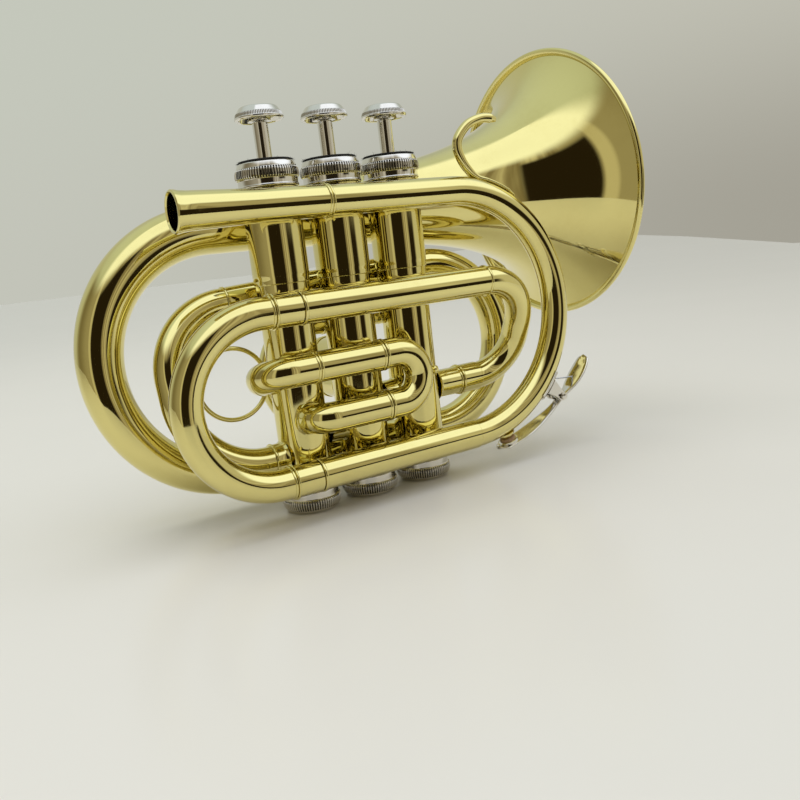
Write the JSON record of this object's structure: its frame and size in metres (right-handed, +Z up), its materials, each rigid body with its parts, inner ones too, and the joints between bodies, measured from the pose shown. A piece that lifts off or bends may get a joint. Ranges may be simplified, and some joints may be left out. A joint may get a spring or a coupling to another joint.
{
  "type": "pocket trumpet",
  "caption": "Compact trumpet of tightly wound lacquered brass tube with piston valves, a flared bell, pull slides, a little-finger hook, a thumb ring and a water key",
  "frame": {"origin": "centre of the second valve's bottom cap, on the plane of the bottom caps' flat lower faces", "axes": "+X towards the bell rim along the row of valves, +Y towards the player's left, where the bell lies, +Z up the valves to the finger buttons"},
  "size_m": [0.2399, 0.1272, 0.1834],
  "materials": {
    "lacquered_brass": "clear lacquered, polished",
    "nickel_plate": "bright nickel plate",
    "nickel_silver": "lapped nickel silver",
    "spring_steel": "drawn wire",
    "cork": "natural cork",
    "felt": "pressed black felt",
    "nylon": "moulded"
  },
  "bodies": {
    "body": {"bell": "lacquered_brass", "bell_tail": "lacquered_brass", "bottom_cap_1": "nickel_plate", "bottom_cap_2": "nickel_plate", "bottom_cap_3": "nickel_plate", "entry_ferrule": "lacquered_brass", "entry_tube": "lacquered_brass", "exit_ferrule": "lacquered_brass", "first_slide_lower_tube": "lacquered_brass", "first_slide_turn": "lacquered_brass", "first_slide_upper_tube": "lacquered_brass", "knuckle_1_2": "lacquered_brass", "knuckle_2_3": "lacquered_brass", "leadpipe": "lacquered_brass", "lower_run": "lacquered_brass", "middle_run": "lacquered_brass", "mouthpiece_receiver": "lacquered_brass", "pinky_hook": "lacquered_brass", "return_bow": "lacquered_brass", "second_slide_lower_tube": "lacquered_brass", "second_slide_upper_tube": "lacquered_brass", "small_bow": "lacquered_brass", "third_slide_lower_tube": "lacquered_brass", "third_slide_upper_tube": "lacquered_brass", "thumb_ring": "lacquered_brass", "top_cap_1": "nickel_plate", "top_cap_2": "nickel_plate", "top_cap_3": "nickel_plate", "top_felt_1": "felt", "top_felt_2": "felt", "top_felt_3": "felt", "valve_casing_1": "lacquered_brass", "valve_casing_2": "lacquered_brass", "valve_casing_3": "lacquered_brass", "valve_guide_1": "nylon", "valve_guide_2": "nylon", "valve_guide_3": "nylon", "valve_spring_1": "spring_steel", "valve_spring_2": "spring_steel", "valve_spring_3": "spring_steel", "water_key_nipple": "lacquered_brass", "water_key_pin": "nickel_plate", "water_key_saddle": "nickel_plate"},
    "valve_1": {"finger_button_1": "nickel_plate", "valve_stem_1": "nickel_plate", "piston_1": "nickel_silver"},
    "valve_2": {"finger_button_2": "nickel_plate", "valve_stem_2": "nickel_plate", "piston_2": "nickel_silver"},
    "valve_3": {"finger_button_3": "nickel_plate", "valve_stem_3": "nickel_plate", "piston_3": "nickel_silver"},
    "tuning_slide": {"tuning_bow": "lacquered_brass", "tuning_leg_lower": "lacquered_brass", "tuning_leg_upper": "lacquered_brass"},
    "first_slide": {"first_slide_crook": "lacquered_brass"},
    "second_slide": {"second_slide_crook": "lacquered_brass"},
    "third_slide": {"third_slide_crook": "lacquered_brass"},
    "water_key": {"water_key_lever": "nickel_plate", "water_key_cork": "cork"}
  },
  "joints": [
    {"name": "valve_1_press", "type": "slide", "parent": "body", "child": "valve_1", "axis": [0, 0, -1], "range_m": [0, 0.0135], "stiffness_N_per_m": 150, "springref_m": -0.02, "deforming": ["valve_spring_1"]},
    {"name": "valve_2_press", "type": "slide", "parent": "body", "child": "valve_2", "axis": [0, 0, -1], "range_m": [0, 0.0135], "stiffness_N_per_m": 150, "springref_m": -0.02, "deforming": ["valve_spring_2"]},
    {"name": "valve_3_press", "type": "slide", "parent": "body", "child": "valve_3", "axis": [0, 0, -1], "range_m": [0, 0.0135], "stiffness_N_per_m": 150, "springref_m": -0.02, "deforming": ["valve_spring_3"]},
    {"name": "tuning_slide_pull", "type": "slide", "parent": "body", "child": "tuning_slide", "axis": [-1, 0, 0], "range_m": [0, 0.024]},
    {"name": "first_slide_pull", "type": "slide", "parent": "body", "child": "first_slide", "axis": [1, 0, 0], "range_m": [0, 0.014]},
    {"name": "second_slide_pull", "type": "slide", "parent": "body", "child": "second_slide", "axis": [0, 1, 0], "range_m": [0, 0.009]},
    {"name": "third_slide_pull", "type": "slide", "parent": "body", "child": "third_slide", "axis": [-1, 0, 0], "range_m": [0, 0.014]},
    {"name": "water_key_turn", "type": "hinge", "parent": "body", "child": "water_key", "pos_m": [0.08973, -0.019, 0.02483], "axis": [0, -1, 0], "range_deg": [0, 12], "stiffness_Nm_per_rad": 0.02, "springref_deg": -28.65}
  ]
}
